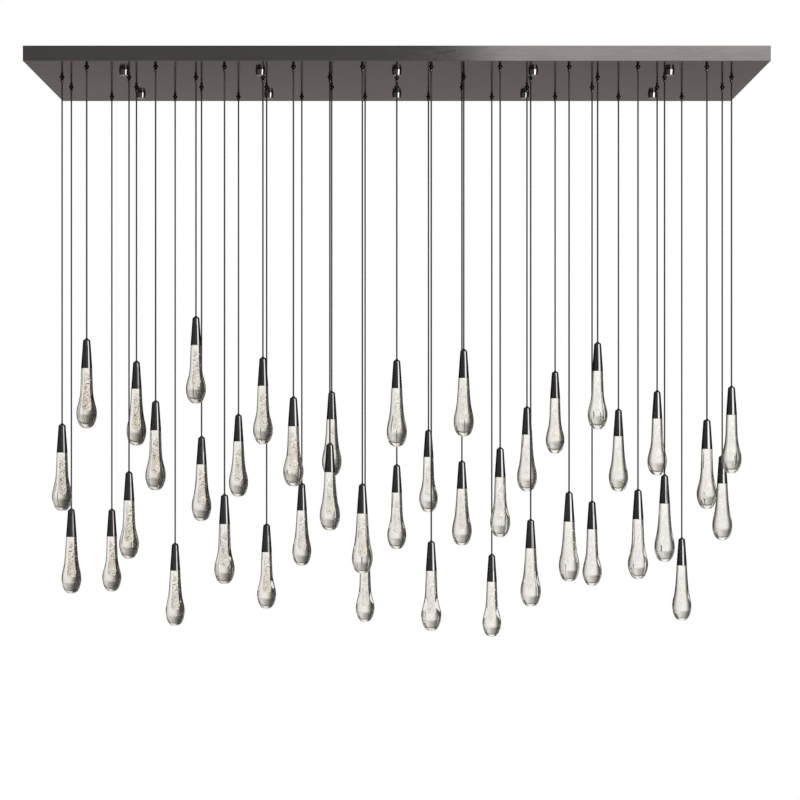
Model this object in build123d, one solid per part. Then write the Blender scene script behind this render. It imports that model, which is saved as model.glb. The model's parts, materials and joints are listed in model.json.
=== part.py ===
from build123d import *
import os

# A long canopy with 42 glass drops, each on its own cord, cut to its own length.
# Millimetres, +Z up, +X along the canopy, the photographed front faces -Y.
# The origin is the middle of the ceiling plane.

# Canopy: a shallow pan folded from sheet, open towards the ceiling
CANOPY_LENGTH = 1830.0
CANOPY_WIDTH = 457.0
CANOPY_HEIGHT = 38.0
SHEET = 1.5
FOLD_BEVEL = 1.0
UNDERSIDE = -CANOPY_HEIGHT
FLOOR = UNDERSIDE + SHEET

# Pendant grid: ten columns in the outer rows, eleven between them
COLUMN_PITCH = 171.0
ROW_SPACING = 115.0
# How far each cap's shoulder hangs below the canopy, left to right in each row
SHOULDER_DEPTHS = {
    "front": [678, 832, 1064, 822, 1038, 1180, 948, 1058, 1052, 878],
    "second": [888, 1010, 614, 718, 938, 724, 698, 1132, 680, 1018, 792],
    "third": [1110, 722, 920, 1150, 802, 994, 984, 842, 1090, 800, 970],
    "back": [1116, 1208, 860, 1046, 1198, 902, 1238, 744, 846, 1194],
}

# Cord grip: threaded shank through the canopy, spanner collar and round stem below it
GRIP_COLLAR_ACROSS = 11.0
GRIP_COLLAR_HEIGHT = 2.0
GRIP_STEM_RADIUS = 3.5
GRIP_STEM_LENGTH = 10.0
GRIP_SHANK_RADIUS = 4.5
GRIP_SHANK_ABOVE_FLOOR = 7.0
GRIP_HOLE_RADIUS = 4.8

# Cord: it swings at the mouth of its grip, a small gap below the stem
CORD_DIAMETER = 4.0
SWING_GAP = 0.6

# Cap and glass drop, as rings of (height above the cap's shoulder, radius)
CAP_HEIGHT = 71.0
DROP_HEIGHT = 150.0
CAP_RINGS = [(4.0, 3.2), (0.0, 9.0), (-CAP_HEIGHT, 13.7)]
DROP_RINGS = [
    (-CAP_HEIGHT, 13.9),
    (-CAP_HEIGHT - 55.0, 16.6),
    (-CAP_HEIGHT - 93.0, 24.0),
    (-CAP_HEIGHT - 109.0, 26.2),
    (-CAP_HEIGHT - 130.0, 23.3),
    (-CAP_HEIGHT - 144.5, 15.8),
]
DROP_TIP = -CAP_HEIGHT - DROP_HEIGHT

# Crossbars screwed to the ceiling, each with two studs that the canopy nuts pull up on
CROSSBAR_COUNT = 5
CROSSBAR_PITCH = 2 * COLUMN_PITCH
CROSSBAR_WIDTH = 30.0
CROSSBAR_LENGTH = 440.0
CROSSBAR_THICKNESS = 3.0
CEILING_HOLE_RADIUS = 3.0
CEILING_HOLE_SPACING = 360.0
CEILING_SLOT_SIZE = (12.0, 6.0)
STUD_SPACING = 264.0
STUD_RADIUS = 3.0
STUD_HOLE_RADIUS = 3.5
STUD_BELOW_CANOPY = 8.0

# Polished round cap nuts under the canopy
NUT_RADIUS = 12.5
NUT_HEIGHT = 13.0

# Two lamp drivers, a terminal block and an earth stud on the canopy floor
DRIVER_X = 200.0
DRIVER_LENGTH = 150.0
DRIVER_WIDTH = 42.0
DRIVER_HEIGHT = 22.0
DRIVER_BEVEL = 1.5
DRIVER_EAR_LENGTH = 14.0
EAR_THICKNESS = 1.5
TERMINAL_X = 60.0
TERMINAL_SIZE = (34.0, 20.0, 16.0)
TERMINAL_POLES = 3
TERMINAL_POLE_GAP = 1.6
TERMINAL_EAR_LENGTH = 12.0
EARTH_X = -60.0
WELD_STUD_RADIUS = 2.0
WELD_STUD_HEIGHT = 6.0
SMALL_NUT_ACROSS = 7.0
SMALL_NUT_HEIGHT = 3.0
SMALL_STUD_CLEARANCE = 0.2

# Round pieces that repeat are many-sided: few sides where they are small
TURNED_SIDES = 10
NUT_SIDES = 12
SMALL_SIDES = 6


def rod(radius, bottom, top, x=0.0, y=0.0, sides=SMALL_SIDES):
    """An upright many-sided rod between two heights."""
    return Pos(x, y, bottom) * extrude(RegularPolygon(radius, sides), amount=top - bottom)


def hexagon(across_flats, bottom, top, x=0.0, y=0.0):
    """An upright hexagonal block, given across its flats."""
    flats = RegularPolygon(across_flats / 2, 6, major_radius=False)
    return Pos(x, y, bottom) * extrude(flats, amount=top - bottom)


def ring_corners(height, radius):
    """The corners of one many-sided ring, in order round the axis."""
    step = 360 / TURNED_SIDES
    return [Vector(radius, 0, height).rotate(Axis.Z, side * step) for side in range(TURNED_SIDES)]


def turned(rings, tip=None):
    """A turned form of flat facets through rings of (height, radius), from the top one down.

    It ends in a flat face, or in a point at the tip's height."""
    corners = [ring_corners(height, radius) for height, radius in rings]
    facets = [corners[0]]
    for upper, lower in zip(corners, corners[1:]):
        for side in range(TURNED_SIDES):
            facets.append([upper[side - 1], upper[side], lower[side], lower[side - 1]])
    if tip is None:
        facets.append(corners[-1])
    else:
        last = corners[-1]
        facets += [[last[side - 1], last[side], Vector(0, 0, tip)] for side in range(TURNED_SIDES)]
    return Solid(Shell([Face(Wire.make_polygon(facet)) for facet in facets]))


def pendant_places():
    """Each pendant's name with its x, y and shoulder depth, row by row from the front."""
    places = []
    for row, (row_name, depths) in enumerate(SHOULDER_DEPTHS.items()):
        y = (row - (len(SHOULDER_DEPTHS) - 1) / 2) * ROW_SPACING
        for column, depth in enumerate(depths):
            x = (column - (len(depths) - 1) / 2) * COLUMN_PITCH
            places.append((f"pendant_{row_name}_{column + 1:02d}", x, y, depth))
    return places


def crossbar_places():
    """The middle of each crossbar along the canopy."""
    middle = (CROSSBAR_COUNT - 1) / 2
    return [(index - middle) * CROSSBAR_PITCH for index in range(CROSSBAR_COUNT)]


def stud_places():
    """The two studs of every crossbar."""
    return [(x, side * STUD_SPACING / 2) for x in crossbar_places() for side in (-1, 1)]


def ear_places():
    """The middle of every ear on the canopy floor: two for each driver, one for the terminal block."""
    reach = (DRIVER_LENGTH + DRIVER_EAR_LENGTH) / 2
    driver_ears = [side * DRIVER_X + end * reach for side in (-1, 1) for end in (-1, 1)]
    return driver_ears + [TERMINAL_X - (TERMINAL_SIZE[0] + TERMINAL_EAR_LENGTH) / 2]


def canopy_pan():
    """The folded pan, with a hole for every grip and every crossbar stud."""
    outside = Pos(0, 0, UNDERSIDE / 2) * Box(CANOPY_LENGTH, CANOPY_WIDTH, CANOPY_HEIGHT)
    folds = outside.edges() - outside.edges().group_by(Axis.Z)[-1]
    shell = chamfer(folds, FOLD_BEVEL)
    hollow = Box(CANOPY_LENGTH - 2 * SHEET, CANOPY_WIDTH - 2 * SHEET, CANOPY_HEIGHT)
    shell -= Pos(0, 0, FLOOR + CANOPY_HEIGHT / 2) * hollow
    through = (UNDERSIDE - SHEET, FLOOR + SHEET)
    holes = [rod(GRIP_HOLE_RADIUS, *through, x, y) for _, x, y, _ in pendant_places()]
    holes += [rod(STUD_HOLE_RADIUS, *through, x, y) for x, y in stud_places()]
    return shell - holes


def crossbar(x):
    """A flat bar on the ceiling: the end bars have round screw holes, the others adjusting slots."""
    bar = Pos(x, 0, -CROSSBAR_THICKNESS / 2) * Box(CROSSBAR_WIDTH, CROSSBAR_LENGTH, CROSSBAR_THICKNESS)
    cut_height = 4 * CROSSBAR_THICKNESS
    if abs(x) == max(crossbar_places()):
        cutter = Cylinder(CEILING_HOLE_RADIUS, cut_height)
    else:
        cutter = Box(*CEILING_SLOT_SIZE, cut_height)
    for side in (-1, 1):
        bar -= Pos(x, side * CEILING_HOLE_SPACING / 2) * cutter
    return bar


def crossbar_studs():
    """Threaded studs, welded under the crossbars and long enough to enter the cap nuts."""
    bottom = UNDERSIDE - STUD_BELOW_CANOPY
    return [rod(STUD_RADIUS, bottom, -CROSSBAR_THICKNESS, x, y) for x, y in stud_places()]


def canopy_nuts():
    """Round cap nuts, blind so that no stud shows."""
    nuts = []
    for x, y in stud_places():
        nut = rod(NUT_RADIUS, UNDERSIDE - NUT_HEIGHT, UNDERSIDE, x, y, NUT_SIDES)
        nuts.append(nut - rod(STUD_RADIUS, UNDERSIDE - STUD_BELOW_CANOPY, UNDERSIDE, x, y))
    return nuts


def cord_grip(x, y):
    """One grip: shank up through the canopy, spanner collar, round stem."""
    collar_bottom = UNDERSIDE - GRIP_COLLAR_HEIGHT
    shank = rod(GRIP_SHANK_RADIUS, UNDERSIDE, FLOOR + GRIP_SHANK_ABOVE_FLOOR, x, y)
    collar = hexagon(GRIP_COLLAR_ACROSS, collar_bottom, UNDERSIDE, x, y)
    stem = rod(GRIP_STEM_RADIUS, collar_bottom - GRIP_STEM_LENGTH, collar_bottom, x, y)
    return shank + collar + stem


def pendant(x, y, depth):
    """Cord, tapered cap with the lamp in it, and glass drop, hanging from one grip."""
    stem_mouth = UNDERSIDE - GRIP_COLLAR_HEIGHT - GRIP_STEM_LENGTH
    shoulder = UNDERSIDE - depth
    cord_bottom = shoulder + CAP_RINGS[0][0]
    cord = rod(CORD_DIAMETER / 2, cord_bottom, stem_mouth - SWING_GAP, x, y)
    hang = Pos(x, y, shoulder)
    return [cord, hang * turned(CAP_RINGS), hang * turned(DROP_RINGS, DROP_TIP)]


def ear_hole(x):
    """What is cut from an ear for its weld stud."""
    return rod(WELD_STUD_RADIUS + SMALL_STUD_CLEARANCE, FLOOR, FLOOR + WELD_STUD_HEIGHT, x)


def lamp_driver(x):
    """A slim potted driver with an ear at each end for its weld stud."""
    body = Pos(x, 0, FLOOR + DRIVER_HEIGHT / 2) * Box(DRIVER_LENGTH, DRIVER_WIDTH, DRIVER_HEIGHT)
    body = chamfer(body.edges().group_by(Axis.Z)[-1], DRIVER_BEVEL)
    ear_span = DRIVER_LENGTH + 2 * DRIVER_EAR_LENGTH
    ears = Pos(x, 0, FLOOR + EAR_THICKNESS / 2) * Box(ear_span, DRIVER_WIDTH / 2, EAR_THICKNESS)
    driver = body + ears
    for ear_x in ear_places():
        driver -= ear_hole(ear_x)
    return driver


def terminal_block():
    """Three joined poles, with a saw cut between neighbours and one ear for a weld stud."""
    length, width, height = TERMINAL_SIZE
    block = Pos(TERMINAL_X, 0, FLOOR + height / 2) * Box(length, width, height)
    for index in range(1, TERMINAL_POLES):
        cut_x = TERMINAL_X - length / 2 + index * length / TERMINAL_POLES
        block -= Pos(cut_x, 0, FLOOR + height) * Box(TERMINAL_POLE_GAP, width, height)
    ear_x = ear_places()[-1]
    ear = Pos(ear_x, 0, FLOOR + EAR_THICKNESS / 2) * Box(TERMINAL_EAR_LENGTH, width / 2, EAR_THICKNESS)
    return block + ear - ear_hole(ear_x)


def weld_studs():
    """Short studs welded to the canopy floor, for the ears and the earth lead."""
    return [rod(WELD_STUD_RADIUS, FLOOR, FLOOR + WELD_STUD_HEIGHT, x) for x in ear_places() + [EARTH_X]]


def weld_stud_nuts():
    """Hexagon nuts: on every ear, and on the floor where the earth lead goes."""
    seats = [(x, FLOOR + EAR_THICKNESS) for x in ear_places()] + [(EARTH_X, FLOOR)]
    nuts = []
    for x, seat in seats:
        nut = hexagon(SMALL_NUT_ACROSS, seat, seat + SMALL_NUT_HEIGHT, x)
        nuts.append(nut - rod(WELD_STUD_RADIUS, seat, seat + SMALL_NUT_HEIGHT, x))
    return nuts


def write(name, *solids):
    """One node: a single solid, or separate solids kept together."""
    shape = solids[0] if len(solids) == 1 else Compound(children=list(solids))
    export_step(shape, f"parts/{name}.step")


os.makedirs("parts", exist_ok=True)
write("canopy_pan", canopy_pan())
for number, bar_x in enumerate(crossbar_places(), start=1):
    write(f"ceiling_crossbar_{number}", crossbar(bar_x))
write("crossbar_studs", *crossbar_studs())
write("canopy_cap_nuts", *canopy_nuts())
write("cord_grips", *[cord_grip(x, y) for _, x, y, _ in pendant_places()])
write("lamp_driver_left", lamp_driver(-DRIVER_X))
write("lamp_driver_right", lamp_driver(DRIVER_X))
write("terminal_block", terminal_block())
write("canopy_weld_studs", *weld_studs())
write("weld_stud_nuts", *weld_stud_nuts())
for name, x, y, depth in pendant_places():
    write(name, *pendant(x, y, depth))
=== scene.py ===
import json
import math
import random

import bmesh
import bpy
from mathutils import Matrix, Vector

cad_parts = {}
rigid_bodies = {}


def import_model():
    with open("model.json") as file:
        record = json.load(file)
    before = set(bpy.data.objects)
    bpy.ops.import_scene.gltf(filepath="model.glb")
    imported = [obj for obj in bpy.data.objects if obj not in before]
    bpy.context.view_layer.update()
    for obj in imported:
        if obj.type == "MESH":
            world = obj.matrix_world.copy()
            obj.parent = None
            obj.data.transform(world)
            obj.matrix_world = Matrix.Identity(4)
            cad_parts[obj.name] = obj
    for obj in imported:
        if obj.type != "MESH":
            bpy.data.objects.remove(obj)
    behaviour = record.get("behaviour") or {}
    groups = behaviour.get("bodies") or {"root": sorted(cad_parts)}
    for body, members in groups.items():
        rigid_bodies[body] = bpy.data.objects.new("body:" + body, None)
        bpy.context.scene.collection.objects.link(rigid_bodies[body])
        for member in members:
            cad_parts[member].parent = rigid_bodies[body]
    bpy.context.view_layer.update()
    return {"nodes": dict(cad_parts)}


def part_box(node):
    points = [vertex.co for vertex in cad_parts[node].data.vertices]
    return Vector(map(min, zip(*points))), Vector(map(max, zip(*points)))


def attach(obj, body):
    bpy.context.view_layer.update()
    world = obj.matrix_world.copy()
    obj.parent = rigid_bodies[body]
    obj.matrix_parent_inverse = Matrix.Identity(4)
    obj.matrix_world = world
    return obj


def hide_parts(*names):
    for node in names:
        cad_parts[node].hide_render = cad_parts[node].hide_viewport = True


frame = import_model()

MM = 0.001
# Metres within which two vertices are one: in a turned mesh, and in a mesh from the CAD
TURNED_WELD = 1e-7
CAD_WELD = 1e-6

# ---------------------------------------------------------------- camera
# Pixels of the photograph: its size, its optical axis, and the focal length that fits the canopy
PHOTO_SIDE = 800
AXIS_X, AXIS_Y = 396.8, 439.0
FOCAL_PIXELS = 1575.5
SENSOR_WIDTH = 36.0
CANOPY_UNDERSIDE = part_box("canopy_pan")[0].z
# Metres: how far below the canopy, and how far in front of its middle, the photograph was taken
EYE_BELOW_CANOPY = 0.9243
EYE_DISTANCE = 4.082


def add_camera():
    """A level camera in front of the canopy, looking along +Y."""
    data = bpy.data.cameras.new("photo_camera")
    data.sensor_width = SENSOR_WIDTH
    data.lens = FOCAL_PIXELS / PHOTO_SIDE * SENSOR_WIDTH
    data.shift_x = (PHOTO_SIDE / 2 - AXIS_X) / PHOTO_SIDE
    data.shift_y = (AXIS_Y - PHOTO_SIDE / 2) / PHOTO_SIDE
    data.clip_end = 60.0
    camera = bpy.data.objects.new("photo_camera", data)
    camera.location = (0.0, -EYE_DISTANCE, CANOPY_UNDERSIDE - EYE_BELOW_CANOPY)
    camera.rotation_euler = (math.radians(90), 0.0, 0.0)
    bpy.context.scene.collection.objects.link(camera)
    bpy.context.scene.camera = camera


# ---------------------------------------------------------------- mesh helpers
def link(name, data):
    """A new object in the scene."""
    piece = bpy.data.objects.new(name, data)
    bpy.context.scene.collection.objects.link(piece)
    return piece


def smooth_line(points, steps):
    """A smooth curve through the given points, with this many steps from one to the next."""
    line = []
    last = len(points) - 1
    for i in range(last):
        p0 = points[max(i - 1, 0)]
        p1, p2 = points[i], points[i + 1]
        p3 = points[min(i + 2, last)]
        for step in range(steps):
            t = step / steps
            line.append(tuple(
                0.5 * (2 * b + (c - a) * t + (2 * a - 5 * b + 4 * c - d) * t * t
                       + (3 * b - a - 3 * c + d) * t ** 3)
                for a, b, c, d in zip(p0, p1, p2, p3)))
    line.append(points[last])
    return line


def turned_mesh(name, profile, sides, wobble=None):
    """A mesh turned about Z from (height, radius) points in millimetres; radius 0 closes an end."""
    mesh = bmesh.new()
    rings = []
    for height, radius in profile:
        if radius == 0:
            rings.append([mesh.verts.new((0, 0, height * MM))])
            continue
        ring = []
        for side in range(sides):
            angle = 2 * math.pi * side / sides
            r = radius * (wobble(height, angle) if wobble else 1.0)
            place = (r * MM * math.cos(angle), r * MM * math.sin(angle), height * MM)
            ring.append(mesh.verts.new(place))
        rings.append(ring)
    for upper, lower in zip(rings, rings[1:]):
        for side in range(sides):
            after = (side + 1) % sides
            corners = [upper[side % len(upper)], upper[after % len(upper)],
                       lower[after % len(lower)], lower[side % len(lower)]]
            unique = [v for i, v in enumerate(corners) if v not in corners[:i]]
            mesh.faces.new(unique)
    bmesh.ops.remove_doubles(mesh, verts=mesh.verts, dist=TURNED_WELD)
    bmesh.ops.recalc_face_normals(mesh, faces=mesh.faces)
    data = bpy.data.meshes.new(name)
    mesh.to_mesh(data)
    mesh.free()
    return data


def repeated_mesh(name, data, places):
    """One mesh with a copy of another at every place."""
    work = bmesh.new()
    for place in places:
        copy = data.copy()
        copy.transform(Matrix.Translation(place))
        work.from_mesh(copy)
        bpy.data.meshes.remove(copy)
    result = bpy.data.meshes.new(name)
    work.to_mesh(result)
    work.free()
    return result


def shade(data, angle):
    """Smooth shading that keeps edges sharper than the angle in degrees."""
    for polygon in data.polygons:
        polygon.use_smooth = True
    work = bmesh.new()
    work.from_mesh(data)
    for edge in work.edges:
        edge.smooth = len(edge.link_faces) == 2 and edge.calc_face_angle(0) < math.radians(angle)
    work.to_mesh(data)
    work.free()
    return data


# ---------------------------------------------------------------- materials
class Tree:
    """A node tree, with short ways to add and join nodes."""

    def __init__(self, tree):
        self.tree = tree

    def add(self, kind, **settings):
        """A new node; each setting is a property of it or the value of an input."""
        node = self.tree.nodes.new(kind)
        for key, value in settings.items():
            if key in node.bl_rna.properties:
                setattr(node, key, value)
            else:
                node.inputs[key.replace("_", " ")].default_value = value
        return node

    def join(self, start, end):
        """A link from an output socket to an input socket."""
        self.tree.links.new(start, end)

    def math(self, operation, *values):
        """An operation on values that are sockets or plain numbers."""
        node = self.add("ShaderNodeMath", operation=operation)
        for socket, value in zip(node.inputs, values):
            if isinstance(value, (int, float)):
                socket.default_value = value
            else:
                self.join(value, socket)
        return node.outputs[0]

    def ramp(self, factor, *stops):
        """A colour looked up from the factor, between stops of (position, colour)."""
        node = self.add("ShaderNodeValToRGB")
        elements = node.color_ramp.elements
        while len(elements) < len(stops):
            elements.new(0.5)
        for element, (position, colour) in zip(elements, stops):
            element.position = position
            element.color = (*colour, 1.0)
        self.join(factor, node.inputs["Fac"])
        return node.outputs["Color"]

    def mix(self, factor, first, second):
        """From the first shader to the second."""
        node = self.add("ShaderNodeMixShader")
        for socket, value in zip(node.inputs, (factor, first, second)):
            self.join(value, socket)
        return node.outputs[0]


class Nodes(Tree):
    """The node tree of a new material, round its main shader."""

    def __init__(self, name):
        self.material = bpy.data.materials.new(name)
        self.material.use_nodes = True
        super().__init__(self.material.node_tree)
        self.shader = self.tree.nodes["Principled BSDF"]
        self.output = self.tree.nodes["Material Output"]

    def set(self, **values):
        """Values for inputs of the main shader."""
        for key, value in values.items():
            self.shader.inputs[key.replace("_", " ")].default_value = value

    def place(self, stretch=(1, 1, 1)):
        """The object's own coordinates, stretched."""
        where = self.add("ShaderNodeTexCoord")
        scaled = self.add("ShaderNodeMapping")
        scaled.inputs["Scale"].default_value = stretch
        self.join(where.outputs["Object"], scaled.inputs["Vector"])
        return scaled.outputs["Vector"]

    def noise(self, vector, scale, detail=3.0, roughness=0.55):
        """Cloudy noise over the vector, from 0 to 1."""
        node = self.add("ShaderNodeTexNoise", Scale=scale, Detail=detail, Roughness=roughness)
        self.join(vector, node.inputs["Vector"])
        return node.outputs["Fac"]

    def blend(self, factor, first, second):
        """From the first colour to the second, which is a socket or plain numbers."""
        node = self.add("ShaderNodeMix", data_type="RGBA")
        # The node has float, vector and colour sockets side by side: these are the colour ones
        first_colour, second_colour, mixed_colour = node.inputs[6], node.inputs[7], node.outputs[2]
        self.join(factor, node.inputs[0])
        self.join(first, first_colour)
        if isinstance(second, tuple):
            second_colour.default_value = (*second, 1.0)
        else:
            self.join(second, second_colour)
        return mixed_colour

    def part(self, vector, axis):
        """The X, Y or Z of a vector."""
        node = self.add("ShaderNodeSeparateXYZ")
        self.join(vector, node.inputs[0])
        return node.outputs[axis]

    def times(self, first, second):
        """Two colours multiplied."""
        node = self.add("ShaderNodeVectorMath", operation="MULTIPLY")
        self.join(first, node.inputs[0])
        self.join(second, node.inputs[1])
        return node.outputs[0]

    def spread(self, factor, low, high, from_low=0.0, from_high=1.0):
        """From low to high while the factor goes from from_low to from_high, and no further."""
        node = self.add("ShaderNodeMapRange")
        node.inputs["From Min"].default_value = from_low
        node.inputs["From Max"].default_value = from_high
        node.inputs["To Min"].default_value = low
        node.inputs["To Max"].default_value = high
        self.join(factor, node.inputs["Value"])
        return node.outputs["Result"]

    def bump(self, height, strength, distance):
        """Fine relief of the surface, this deep in metres."""
        node = self.add("ShaderNodeBump", Strength=strength, Distance=distance)
        self.join(height, node.inputs["Height"])
        self.join(node.outputs["Normal"], self.shader.inputs["Normal"])


def polished_metal(name, dark, light, roughness, edge, mottle=9.0, brush=(1, 1, 1)):
    """Plated metal with a faint cloudiness in colour, and hairline wear in its surface and its shine."""
    m = Nodes(name)
    cloud = m.noise(m.place(), scale=mottle, detail=4.0)
    m.join(m.ramp(cloud, (0.3, dark), (0.72, light)), m.shader.inputs["Base Color"])
    hair = m.noise(m.place(brush), scale=160.0, detail=4.0, roughness=0.6)
    m.join(m.spread(hair, roughness * 0.7, roughness * 1.4, 0.3, 0.7), m.shader.inputs["Roughness"])
    m.bump(hair, strength=0.04, distance=0.0002)
    m.set(Metallic=1.0, Specular_Tint=(*edge, 1.0))
    return m.material


def moulded_plastic(name, dark, light, roughness):
    """Moulded plastic with the fine grain of its mould."""
    m = Nodes(name)
    grain = m.noise(m.place(), scale=900.0)
    patch = m.noise(m.place(), scale=30.0)
    m.join(m.ramp(patch, (0.3, dark), (0.7, light)), m.shader.inputs["Base Color"])
    m.join(m.spread(grain, roughness * 0.8, roughness * 1.2), m.shader.inputs["Roughness"])
    m.bump(grain, strength=0.15, distance=0.0003)
    return m.material


def cord_material():
    """Smooth dark sheath with the faint lay of the wires under it."""
    m = Nodes("cord_sheath")
    lay = m.add("ShaderNodeTexWave", wave_type="BANDS", bands_direction="DIAGONAL", Scale=180.0,
                Distortion=1.0)
    m.join(m.place(), lay.inputs["Vector"])
    m.join(m.ramp(lay.outputs["Fac"], (0.2, (0.02, 0.019, 0.019)), (0.8, (0.034, 0.033, 0.032))),
           m.shader.inputs["Base Color"])
    m.bump(lay.outputs["Fac"], strength=0.3, distance=0.0002)
    m.set(Roughness=0.42)
    return m.material


# Metres along the canopy over which fade out the drops' painted shade, and the cores' speckle together
# with their painted shade: darker towards the left end
PAINTED_DROP_SHADE_FADES = (-0.75, 0.35)
CORE_SPECKLE_AND_SHADE_FADES = (-0.75, 0.5)
# Metres above the cap's rim: a bulb's painted shade low down, the tip left clear of painted shade, and
# the painted light of the lamp on the core
BULB_PAINTED_SHADE = (-0.128, -0.1)
CLEAR_TIP = (-0.1445, -0.1405)
LAMP_LIGHT = (-0.03, 0.0)
WHITE = (1.0, 1.0, 1.0)


def glass_material():
    """Clear hand made glass: faint ripples, a little smoke in its depth, painted shade at the rims, more
    painted shade towards the left end of the canopy and low in the bulb, and a clear tip.
    """
    m = Nodes("drop_glass")
    ripple = m.noise(m.place((1, 1, 0.4)), scale=55.0, detail=2.0)
    m.bump(ripple, strength=0.1, distance=0.001)
    # Painted shade: the rims darken with Layer Weight, standing in for the dark edges that the glass
    # shows by refraction
    facing = m.add("ShaderNodeLayerWeight", Blend=0.5).outputs["Facing"]
    tint = m.ramp(facing, (0.0, (0.995, 0.995, 0.99)), (0.45, (0.98, 0.98, 0.97)),
                  (0.62, (0.6, 0.58, 0.55)), (0.8, (0.08, 0.075, 0.07)))
    # More painted shade, for the drops towards the left end: darker rims, and darker low in the bulb
    painted_shade_tint = m.ramp(facing, (0.0, (0.98, 0.975, 0.96)), (0.35, (0.93, 0.92, 0.895)),
                        (0.62, (0.5, 0.485, 0.46)), (0.8, (0.07, 0.066, 0.06)))
    height = m.part(m.place(), "Z")
    # Painted shade: the bulb darker low down
    painted_shade_tint = m.blend(m.spread(height, 0.5, 0.0, *BULB_PAINTED_SHADE), painted_shade_tint, (0.62, 0.585, 0.53))
    drop = m.add("ShaderNodeObjectInfo")
    # How much of that painted shade a drop takes, by its place along the canopy
    painted_shade_share = m.spread(m.part(drop.outputs["Location"], "X"), 1.0, 0.0, *PAINTED_DROP_SHADE_FADES)
    tint = m.blend(painted_shade_share, tint, painted_shade_tint)
    # The tip is kept clear of all painted shade
    tip = m.spread(height, 1.0, 0.0, *CLEAR_TIP)
    m.join(m.blend(tip, tint, WHITE), m.shader.inputs["Base Color"])
    m.set(Roughness=0.0, IOR=1.48, Transmission_Weight=1.0)
    smoke = m.add("ShaderNodeVolumeAbsorption", Density=12.0)
    smoke.inputs["Color"].default_value = (0.82, 0.79, 0.73, 1.0)
    m.join(smoke.outputs["Volume"], m.output.inputs["Volume"])
    return m.material


def core_material():
    """Glass crowded with bubbles, each its own tint, glowing with painted light that is palest under the
    lamp that lights them.

    Each drop has its own tone, and the cores grow clearer along the canopy: their speckle and painted
    shade are strongest at the left end, as in the photograph.
    """
    m = Nodes("seeded_core")
    bubbles = m.add("ShaderNodeTexVoronoi", Scale=330.0)
    m.join(m.place(), bubbles.inputs["Vector"])
    pick = m.add("ShaderNodeSeparateColor")
    m.join(bubbles.outputs["Color"], pick.inputs[0])
    tint = m.ramp(pick.outputs[0], (0.0, (0.24, 0.21, 0.17)), (0.22, (0.56, 0.5, 0.44)),
                  (0.42, (0.84, 0.76, 0.71)), (0.62, (0.97, 0.94, 0.85)), (0.8, (0.86, 0.93, 0.82)),
                  (1.0, (1.0, 1.0, 0.98)))
    # Painted shade: each bubble darker towards its rim
    edge = m.ramp(bubbles.outputs["Distance"], (0.3, WHITE), (0.62, (0.74, 0.71, 0.68)))
    patches = m.noise(m.place((1, 1, 0.5)), scale=70.0)
    cloud = m.ramp(patches, (0.35, (0.85, 0.83, 0.81)), (0.65, WHITE))
    drop = m.add("ShaderNodeObjectInfo")
    own = m.ramp(drop.outputs["Random"], (0.0, (1.0, 0.955, 0.94)), (0.3, (1.0, 0.985, 0.94)),
                 (0.55, (0.985, 1.0, 0.95)), (0.8, (0.995, 0.97, 1.0)), (1.0, (1.0, 0.99, 0.98)))
    speckle = m.times(m.times(tint, edge), cloud)
    # Painted shade towards the left end of the canopy: the speckle there stays dark, and to the right it
    # pales
    speckle_and_shade_fading = m.spread(m.part(drop.outputs["Location"], "X"), 0.0, 0.7, *CORE_SPECKLE_AND_SHADE_FADES)
    speckle = m.blend(speckle_and_shade_fading, speckle, (0.97, 0.96, 0.95))
    # Painted light: paler near the top, where the lamp shines on the core
    painted_lamp_light = m.spread(m.part(m.place(), "Z"), 0.0, 0.7, *LAMP_LIGHT)
    colour = m.times(m.blend(painted_lamp_light, speckle, (1.0, 0.995, 0.97)), own)
    # Painted light: the core glows, standing in for the lamp's light through it
    m.join(colour, m.shader.inputs["Emission Color"])
    m.join(colour, m.shader.inputs["Base Color"])
    m.set(Emission_Strength=1.0, Roughness=0.35)
    m.bump(bubbles.outputs["Distance"], strength=0.4, distance=0.0006)
    return m.material


def lamp_material():
    """The warm white face of the lamp module."""
    m = Nodes("lamp_module")
    cells = m.add("ShaderNodeTexVoronoi", Scale=900.0)
    m.join(m.place(), cells.inputs["Vector"])
    colour = m.ramp(cells.outputs["Distance"], (0.0, (1.0, 0.9, 0.72)), (0.8, (1.0, 0.97, 0.9)))
    m.join(colour, m.shader.inputs["Emission Color"])
    m.set(Emission_Strength=3.0, Roughness=0.4)
    return m.material


# ---------------------------------------------------------------- the pendants
# Lengths are in millimetres
CAP_HEIGHT = 71.0
DROP_HEIGHT = 150.0
PENDANT_HEIGHT = CAP_HEIGHT + DROP_HEIGHT
LAMP_ABOVE_RIM = 6.6
CORD_DIAMETER = 4.0
CORD_IN_GRIP = 3.0
CORD_ENDS_ABOVE_SHOULDER = 3.9
# Cord diameters from each end to the next point of its curve
CORD_END_RUN = 6
PENDANT_SEED = 7
CORE_SEED = 11
CORE_TOP = 5.5
LOOSE_BUBBLES = 60
LOOSE_BUBBLE_DEPTHS = (14, 122)
LOOSE_BUBBLE_RADII = (0.35, 0.95)

# As (depth below the cap's rim, radius): a fuller neck, and a slimmer neck with a rounder bulb
FULL_DROP = [(0, 13.7), (14, 14.5), (32, 15.5), (50, 16.9), (66, 18.6), (80, 21.0), (94, 24.2),
             (107, 25.9), (120, 25.3), (131, 22.8), (141, 18.4), (147.2, 11.2), (DROP_HEIGHT, 0)]
SLIM_DROP = [(0, 13.6), (14, 13.9), (32, 14.6), (50, 15.3), (66, 16.6), (80, 19.2), (94, 22.9),
             (106, 25.2), (118, 25.1), (130, 22.5), (140.5, 17.8), (147.2, 10.8), (DROP_HEIGHT, 0)]


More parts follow.
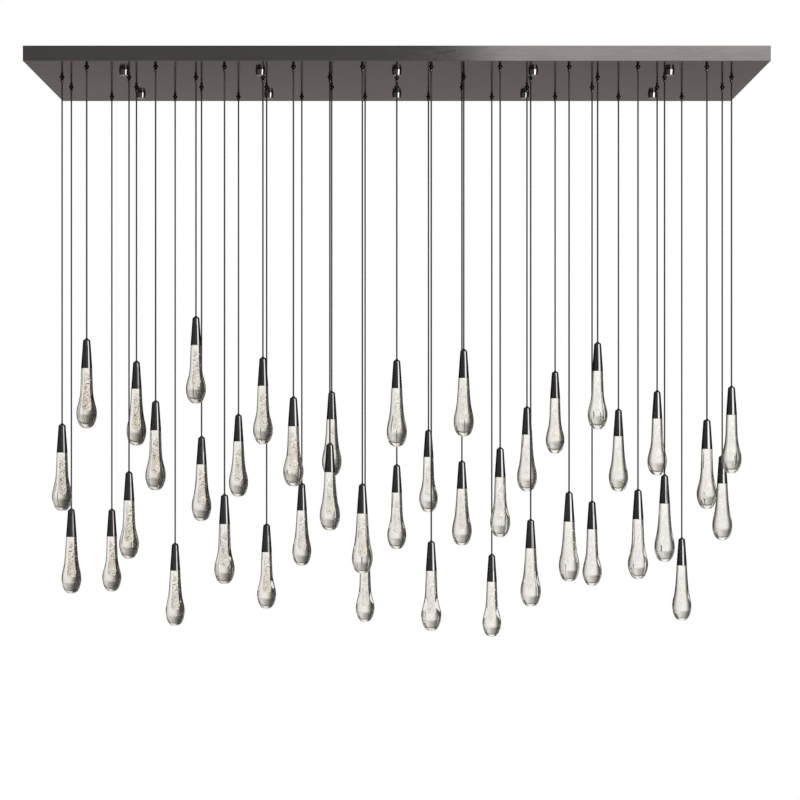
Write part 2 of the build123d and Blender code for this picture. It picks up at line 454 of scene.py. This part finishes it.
def drop_mesh(name, outline, seed):
    """A solid glass drop with its neck's spigot, a little uneven as hand work is."""
    rng = random.Random(seed)
    lean = rng.uniform(0, 2 * math.pi)
    twist = rng.uniform(0, 2 * math.pi)

    def wobble(height, angle):
        """Oval, with a weaker three-sided twist, both growing towards the tip."""
        depth = min(max(-height / DROP_HEIGHT, 0.0), 1.0)
        return 1.0 + depth * (-0.012 + 0.012 * math.cos(2 * (angle - lean))
                              + 0.006 * math.cos(3 * angle + twist + 4 * depth))

    skin = [(-depth, radius) for depth, radius in smooth_line(outline, 4)]
    spigot = [(6.0, 0.0), (6.0, 11.0), (5.6, 11.4), (0.5, 11.4), (0.0, 11.6)]
    return shade(turned_mesh(name, spigot + skin, sides=56, wobble=wobble), angle=60)


def core_mesh(name):
    """The bubble column in a drop: an uneven skin, and loose bubbles round it."""
    rng = random.Random(CORE_SEED)
    outline = [(0, 4.6), (28, 4.8), (56, 5.3), (80, 6.3), (98, 7.4), (107, 7.2), (112, 5.0), (113.5, 0)]

    def knobbly(height, angle):
        """Shallow bumps that wind round the column."""
        return (1.0 + 0.035 * math.sin(5 * angle + 0.9 * height)
                + 0.03 * math.sin(3 * angle - 0.55 * height))

    skin = [(-depth + CORE_TOP, radius) for depth, radius in smooth_line(outline, 7)]
    data = turned_mesh(name, [(CORE_TOP, 0.0)] + skin, sides=28, wobble=knobbly)
    work = bmesh.new()
    work.from_mesh(data)
    for _ in range(LOOSE_BUBBLES):
        depth = rng.uniform(*LOOSE_BUBBLE_DEPTHS)
        angle = rng.uniform(0, 2 * math.pi)
        # The loose bubbles spread out as the drop widens
        reach = rng.uniform(0.35, 1.0) * (5.6 + depth * 0.045)
        size = rng.uniform(*LOOSE_BUBBLE_RADII)
        place = (reach * math.cos(angle) * MM, reach * math.sin(angle) * MM, -depth * MM)
        bmesh.ops.create_icosphere(work, subdivisions=1, radius=size * MM,
                                   matrix=Matrix.Translation(place))
    work.to_mesh(data)
    work.free()
    return shade(data, angle=80)


def cap_mesh(name):
    """Tapered cap with a nipple and a rounded shoulder, hollow at the rim where the neck sits."""
    outline = [(4.0, 2.1), (4.0, 2.6), (3.7, 3.1), (2.2, 3.6), (1.3, 4.6), (0.3, 7.0), (-1.2, 8.4),
               (-4.0, 9.1), (-CAP_HEIGHT + 0.8, 13.7), (-CAP_HEIGHT + 0.2, 13.65), (-CAP_HEIGHT, 13.4),
               (-CAP_HEIGHT, 11.9), (-CAP_HEIGHT + 9.0, 11.9), (-CAP_HEIGHT + 9.0, 0)]
    return shade(turned_mesh(name, [(4.0, 0.0)] + outline, sides=40), angle=50)


def lamp_mesh(name):
    """A flat lamp module with a domed lens."""
    outline = [(2.0, 0), (2.0, 9.5), (0.8, 9.5), (0.6, 7.0), (0.2, 4.5), (0.0, 0)]
    return shade(turned_mesh(name, outline, sides=28), angle=50)


def add_cord(name, x, y, top, bottom, material):
    """A taut cord from inside its grip down to its cap."""
    curve = bpy.data.curves.new(name, "CURVE")
    curve.dimensions = "3D"
    curve.bevel_depth = CORD_DIAMETER / 2 * MM
    curve.bevel_resolution = 4
    curve.use_fill_caps = True
    near_end = CORD_END_RUN * CORD_DIAMETER * MM
    heights = [top, top - near_end, bottom + near_end, bottom]
    spline = curve.splines.new("NURBS")
    spline.points.add(len(heights) - 1)
    for point, height in zip(spline.points, heights):
        point.co = (x, y, height, 1)
    spline.order_u = 3
    spline.use_endpoint_u = True
    curve.materials.append(material)
    return link(name, curve)


def add_pendants(looks):
    """Every pendant, in the place and on the body that the frame gives it."""
    drops = [drop_mesh(f"drop_mesh_{i}", outline, i)
             for i, outline in enumerate([FULL_DROP, SLIM_DROP, FULL_DROP, SLIM_DROP])]
    for data in drops:
        data.materials.append(looks["glass"])
    core, cap, lamp = core_mesh("core_mesh"), cap_mesh("cap_mesh"), lamp_mesh("lamp_mesh")
    core.materials.append(looks["core"])
    cap.materials.append(looks["cap"])
    lamp.materials.append(looks["lamp"])
    rng = random.Random(PENDANT_SEED)
    nodes = sorted(name for name in frame["nodes"] if name.startswith("pendant_"))
    for node in nodes:
        low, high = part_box(node)
        x, y = (low.x + high.x) / 2, (low.y + high.y) / 2
        shoulder = low.z + PENDANT_HEIGHT * MM
        rim = shoulder - CAP_HEIGHT * MM
        tag = node.replace("pendant_", "")
        turn = rng.uniform(0, 2 * math.pi)
        pieces = []
        for kind, data, height, slot in [
            ("cap", cap, shoulder, "cap_metal"),
            ("lamp", lamp, rim + LAMP_ABOVE_RIM * MM, "lamp_module"),
            ("core", core, rim, "seeded_core"),
            ("drop", rng.choice(drops), rim, "drop_glass"),
        ]:
            piece = link(f"{kind}_{tag}", data)
            piece.location = (x, y, height)
            piece.rotation_euler = (0, 0, turn)
            pieces.append(piece)
        cord_top = high.z + CORD_IN_GRIP * MM
        cord_bottom = shoulder + CORD_ENDS_ABOVE_SHOULDER * MM
        cord = add_cord(f"cord_{tag}", x, y, cord_top, cord_bottom, looks["cord"])
        for piece in pieces + [cord]:
            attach(piece, node)
            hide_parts(node)


# ---------------------------------------------------------------- what the canopy carries
SHEET = 1.5 * MM
TERMINAL_POLES = 3
TERMINAL_POLE_PITCH = 34.0 / TERMINAL_POLES * MM
TERMINAL_SCREW_SPACING = 11.0 * MM


def grip_mesh(name):
    """Cord grip: shank, collar with rounded edges, stem with a ring and a flared mouth."""
    outline = [(8.5, 2.6), (8.5, 4.2), (8.2, 4.5), (0.0, 4.5), (0.0, 5.8), (-0.4, 6.1), (-1.6, 6.1),
               (-2.0, 5.7), (-2.0, 3.6), (-2.6, 3.3), (-3.4, 3.5), (-11.2, 3.5), (-12.0, 3.2),
               (-12.0, 2.9), (-10.6, 2.5), (-8.0, 2.3), (-8.0, 0)]
    return shade(turned_mesh(name, [(8.5, 0)] + outline, sides=28), angle=40)


def cap_nut_mesh(name):
    """Polished round cap nut with eased edges and a flat face, tapered towards its free end."""
    outline = [(0, 12.3), (-0.2, 12.5), (-12.7, 10.7), (-13.0, 10.3), (-13.0, 0)]
    return shade(turned_mesh(name, [(0, 0)] + outline, sides=48), angle=30)


def islands(node):
    """The x, y middle of every separate solid in a CAD node."""
    work = bmesh.new()
    work.from_mesh(frame["nodes"][node].data)
    bmesh.ops.remove_doubles(work, verts=work.verts, dist=CAD_WELD)
    found, seen = [], set()
    for start in work.verts:
        if start in seen:
            continue
        group, queue = [], [start]
        seen.add(start)
        while queue:
            vertex = queue.pop()
            group.append(vertex.co.copy())
            for edge in vertex.link_edges:
                other = edge.other_vert(vertex)
                if other not in seen:
                    seen.add(other)
                    queue.append(other)
        xs, ys, _ = zip(*group)
        found.append(((min(xs) + max(xs)) / 2, (min(ys) + max(ys)) / 2))
    work.free()
    return sorted(found)


def add_repeats(node, prefix, data, material):
    """One detailed piece for every solid of a CAD node, at the canopy's underside."""
    data.materials.append(material)
    for number, (x, y) in enumerate(islands(node), start=1):
        piece = link(f"{prefix}_{number:02d}", data)
        piece.location = (x, y, CANOPY_UNDERSIDE)
        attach(piece, "canopy")
        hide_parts(node)


def lock_nut_mesh():
    """Thin hexagon nut with chamfered corners, round a grip's shank."""
    outline = [(3.0, 5.3), (3.0, 7.2), (2.5, 8.1), (0.5, 8.1), (0.0, 7.2), (0.0, 5.3), (3.0, 5.3)]
    return shade(turned_mesh("lock_nut_mesh", outline, sides=6), angle=20)


def terminal_screw_mesh():
    """Clamp screw with a round socket in its head."""
    outline = [(0.4, 0), (0.5, 1.0), (1.1, 1.3), (1.1, 2.2), (0.8, 2.6), (0, 2.6), (0, 0)]
    return shade(turned_mesh("terminal_screw_mesh", outline, sides=20), angle=35)


def add_small_fasteners(looks):
    """What the CAD leaves out above the canopy floor: lock nuts and terminal screws."""
    sheet_top = CANOPY_UNDERSIDE + SHEET
    shanks = [(x, y, sheet_top) for x, y in islands("cord_grips")]
    _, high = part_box("terminal_block")
    poles = [high.x - (pole + 0.5) * TERMINAL_POLE_PITCH for pole in range(TERMINAL_POLES)]
    screws = [(x, side * TERMINAL_SCREW_SPACING / 2, high.z) for x in poles for side in (-1, 1)]
    for name, data, places in [
        ("grip_lock_nuts", lock_nut_mesh(), shanks),
        ("terminal_screws", terminal_screw_mesh(), screws),
    ]:
        piece = link(name, repeated_mesh(name, data, places))
        piece.data.materials.append(looks["zinc"])
        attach(piece, "canopy")


def dress_cad_nodes(looks):
    """Better materials for the CAD nodes whose shape is right."""
    for node, look in {
        "canopy_pan": "canopy", "crossbar_studs": "zinc", "canopy_weld_studs": "zinc",
        "weld_stud_nuts": "zinc", "lamp_driver_left": "driver", "lamp_driver_right": "driver",
        "terminal_block": "terminal",
        **{name: "zinc" for name in frame["nodes"] if name.startswith("ceiling_crossbar")},
    }.items():
        slots = frame["nodes"][node].data.materials
        slots.clear()
        slots.append(looks[look])


# ---------------------------------------------------------------- stage and light
# Lengths are in metres
FLOOR_HEIGHT = -2.45
FLOOR_REACH = 2.3
# How much of the floor is plain glow, which takes no shadow, when it is seen
FLOOR_GLOW = 0.93
BROAD_LAMP_PLACE = (1.6, -3.4, 1.6)
BROAD_LAMP_AIM = (0, 0, -0.8)
BROAD_LAMP_SIZE = (3.0, 2.0)
BROAD_LAMP_WATTS = 40.0
SOFTBOX_PLACE = (1.4, -1.32, -0.6)
SOFTBOX_SIZE = (1.1, 2.0)
SOFTBOX_WATTS = 100.0
AMBIENT = 0.7

# The studio's strengths by degrees round from the canopy's front, positive to the right
SEEN_IN_METAL = [(-180, 0.1), (-100, 0.1), (-78, 0.45), (-14, 0.5), (4, 0.55), (14, 0.9), (70, 0.9),
                 (78, 0.4), (112, 0.4), (128, 0.1), (180, 0.1)]
SEEN_IN_GLASS = [(-180, 1.0), (-171, 0.85), (-163, 0.42), (-156, 0.14), (-149, 0.03), (-141, 0.01),
                 (-127, 0.004), (-99, 0.004), (-90, 0.6), (-60, 1.0), (60, 1.0), (92, 0.8), (99, 0.01),
                 (121, 0.01), (129, 0.2), (139, 0.58), (150, 0.85), (164, 0.97), (180, 1.0)]
# How much of the back wall is left above level, darker towards the left
WALL_ABOVE = [(-180, 0.46), (-171, 0.34), (-150, 0.28), (-120, 0.28), (-100, 1.0), (120, 0.82),
              (160, 0.78), (168, 0.66), (175, 0.5), (180, 0.46)]
# The dark corners low in the bulb: how strong by direction, and by degrees up from level
CORNERS_AROUND = [(-180, 0.0), (-164, 0.0), (-153, 1.0), (-95, 1.0), (-88, 0.0), (88, 0.0), (95, 1.0),
                  (141, 1.0), (152, 0.0), (180, 0.0)]
CORNERS_UP = [(-90, 0.0), (9, 0.0), (15, 0.96), (44, 0.96), (50, 0.0), (90, 0.0)]
# By degrees up from level: where that wall shows, its dark top edge, and the floor and ceiling in metal
WALL_HEIGHT = [(-90, 0.0), (1, 0.0), (6, 1.0), (26, 1.0), (28.5, 0.0), (90, 0.0)]
WALL_EDGE = [(-90, 1.0), (21, 1.0), (24, 0.2), (27, 0.2), (28.5, 1.0), (90, 1.0)]
FLOOR_AND_CEILING = [(-90, 1.0), (-13.4, 1.0), (-12, 1.14), (-9, 1.14), (-6, 0.0), (28, 0.0), (50, 0.85),
                     (90, 1.0)]
# The colour of each strength in glass: from black through a warm grey to white
WARM_GREY = [(0.0, (0.0, 0.0, 0.0)), (0.3, (0.32, 0.297, 0.255)), (1.0, WHITE)]


class WorldNodes(Tree):
    """The world's node tree, emptied."""

    def __init__(self, world):
        world.use_nodes = True
        super().__init__(world.node_tree)
        self.tree.nodes.clear()

    def table(self, degrees, reach, stops):
        """A strength looked up from an angle that runs from -reach to reach degrees."""
        share = self.math("MULTIPLY_ADD", degrees, 0.5 / reach, 0.5)
        return self.ramp(share, *[(angle / (2 * reach) + 0.5, (value,) * 3) for angle, value in stops])

    def background(self, strength=1.0, colour=None):
        """A background whose strength is a socket or a number, white unless a socket colours it."""
        node = self.add("ShaderNodeBackground", Color=(*WHITE, 1.0))
        if colour is not None:
            self.join(colour, node.inputs["Color"])
        if isinstance(strength, float):
            node.inputs["Strength"].default_value = strength
        else:
            self.join(strength, node.inputs["Strength"])
        return node.outputs[0]


def add_world():
    """White behind the object; metal and glass see a studio with darker sides and a grey back wall."""
    world = bpy.data.worlds.new("studio")
    bpy.context.scene.world = world
    w = WorldNodes(world)
    parts = w.add("ShaderNodeSeparateXYZ")
    w.join(w.add("ShaderNodeTexCoord").outputs["Generated"], parts.inputs[0])
    x, y, z = parts.outputs
    to_degrees = math.degrees(1)
    around = w.math("MULTIPLY", w.math("ARCTAN2", x, w.math("MULTIPLY", y, -1)), to_degrees)
    up = w.math("MULTIPLY", w.math("ARCSINE", z), to_degrees)

    def by_side(stops):
        return w.table(around, 180, stops)

    def by_height(stops):
        return w.table(up, 90, stops)

    metal = w.background(w.math("MAXIMUM", by_side(SEEN_IN_METAL), by_height(FLOOR_AND_CEILING)))
    # What glass sees: the grey wall, its dark top edge and its dark corners, within the pale sides
    shade_of_wall = w.math("SUBTRACT", 1.0, by_side(WALL_ABOVE))
    wall = w.math("SUBTRACT", 1.0, w.math("MULTIPLY", shade_of_wall, by_height(WALL_HEIGHT)))
    wall = w.math("MULTIPLY", wall, by_height(WALL_EDGE))
    corners = w.math("MULTIPLY", by_side(CORNERS_AROUND), by_height(CORNERS_UP))
    wall = w.math("MULTIPLY", wall, w.math("SUBTRACT", 1.0, corners))
    wall = w.math("MULTIPLY", by_side(SEEN_IN_GLASS), wall)
    glass = w.background(colour=w.ramp(wall, *WARM_GREY))
    # Plain light for everything else, and white where the camera sees past the object
    path = w.add("ShaderNodeLightPath")
    shader = w.mix(path.outputs["Is Glossy Ray"], w.background(AMBIENT), metal)
    shader = w.mix(path.outputs["Is Transmission Ray"], shader, glass)
    shader = w.mix(path.outputs["Is Camera Ray"], shader, w.background())
    w.join(shader, w.add("ShaderNodeOutputWorld").inputs["Surface"])


def add_floor():
    """A plain white floor that keeps the object's shadow, and is clear when seen from below."""
    data = bpy.data.meshes.new("floor")
    corners = [(-FLOOR_REACH, -FLOOR_REACH, 0), (FLOOR_REACH, -FLOOR_REACH, 0),
               (FLOOR_REACH, FLOOR_REACH, 0), (-FLOOR_REACH, FLOOR_REACH, 0)]
    data.from_pydata(corners, [], [(0, 1, 2, 3)])
    floor = link("floor", data)
    floor.location.z = FLOOR_HEIGHT
    m = Nodes("floor_white")
    m.set(Base_Color=(0.9, 0.9, 0.9, 1), Roughness=0.9)
    glow = m.add("ShaderNodeEmission", Strength=1.0)
    path = m.add("ShaderNodeLightPath")
    seen = m.math("MAXIMUM", path.outputs["Is Camera Ray"], path.outputs["Is Transmission Ray"])
    seen = m.math("MAXIMUM", seen, path.outputs["Is Glossy Ray"])
    floor_shader = m.mix(m.math("MULTIPLY", seen, FLOOR_GLOW), m.shader.outputs[0], glow.outputs[0])
    below = m.add("ShaderNodeNewGeometry").outputs["Backfacing"]
    floor_shader = m.mix(below, floor_shader, m.add("ShaderNodeBsdfTransparent").outputs[0])
    m.join(floor_shader, m.output.inputs["Surface"])
    data.materials.append(m.material)


def add_lamp(name, place, aim, size, watts):
    """A soft rectangular lamp."""
    light = bpy.data.lights.new(name, "AREA")
    light.shape = "RECTANGLE"
    light.size, light.size_y = size
    light.energy = watts
    lamp = link(name, light)
    lamp.location = place
    lamp.rotation_euler = (Vector(aim) - lamp.location).to_track_quat("-Z", "Y").to_euler()
    return lamp


def add_lamps(polished):
    """A broad soft lamp for everything, and a softbox that shines on the polished pieces alone."""
    add_lamp("broad_lamp", BROAD_LAMP_PLACE, BROAD_LAMP_AIM, BROAD_LAMP_SIZE, BROAD_LAMP_WATTS)
    softbox = add_lamp("softbox", SOFTBOX_PLACE, (0, 0, SOFTBOX_PLACE[2]), SOFTBOX_SIZE, SOFTBOX_WATTS)
    softbox.visible_camera = False
    softbox.visible_diffuse = False
    softbox.visible_transmission = False
    lit = bpy.data.collections.new("softbox_lights")
    for piece in polished:
        lit.objects.link(piece)
    softbox.light_linking.receiver_collection = lit


def main():
    """The looks, the dressed part, and the studio round it."""
    scene = bpy.context.scene
    scene.view_settings.view_transform = "Standard"
    scene.cycles.caustics_reflective = False
    scene.cycles.caustics_refractive = False
    looks = {
        "canopy": polished_metal("canopy_metal", dark=(0.102, 0.095, 0.092), light=(0.114, 0.106, 0.102),
                                 roughness=0.12, edge=(0.45, 0.425, 0.42), mottle=3.0,
                                 brush=(0.15, 1, 1)),
        "nut": polished_metal("polished_nickel", dark=(0.075, 0.073, 0.071), light=(0.1, 0.097, 0.094),
                              roughness=0.05, edge=(0.6, 0.58, 0.57)),
        "grip": polished_metal("grip_metal", dark=(0.026, 0.025, 0.024), light=(0.038, 0.036, 0.035),
                               roughness=0.2, edge=(0.2, 0.19, 0.185)),
        "cap": polished_metal("cap_metal", dark=(0.05, 0.048, 0.048), light=(0.07, 0.067, 0.066),
                              roughness=0.04, edge=(0.25, 0.25, 0.25)),
        "zinc": polished_metal("zinc_steel", dark=(0.45, 0.46, 0.47), light=(0.6, 0.61, 0.62),
                               roughness=0.35, edge=(0.8, 0.8, 0.8), mottle=60.0),
        "driver": moulded_plastic("driver_plastic", dark=(0.74, 0.74, 0.72), light=(0.82, 0.82, 0.8),
                                  roughness=0.45),
        "terminal": moulded_plastic("terminal_plastic", dark=(0.66, 0.66, 0.6), light=(0.74, 0.74, 0.68),
                                    roughness=0.4),
        "cord": cord_material(),
        "glass": glass_material(),
        "core": core_material(),
        "lamp": lamp_material(),
    }
    add_camera()
    dress_cad_nodes(looks)
    for node, prefix, data, look, slot in [
        ("cord_grips", "cord_grip", grip_mesh("grip_mesh"), "grip", "grip_metal"),
        ("canopy_cap_nuts", "cap_nut", cap_nut_mesh("cap_nut_mesh"), "nut", "polished_nickel"),
    ]:
        add_repeats(node, prefix, data, looks[look])
    add_small_fasteners(looks)
    add_pendants(looks)
    add_world()
    add_floor()
    # The drops' caps and the cap nuts both start with cap_
    add_lamps([piece for piece in bpy.context.scene.objects
               if piece.name.startswith(("cap_", "cord_grip_"))])


main()
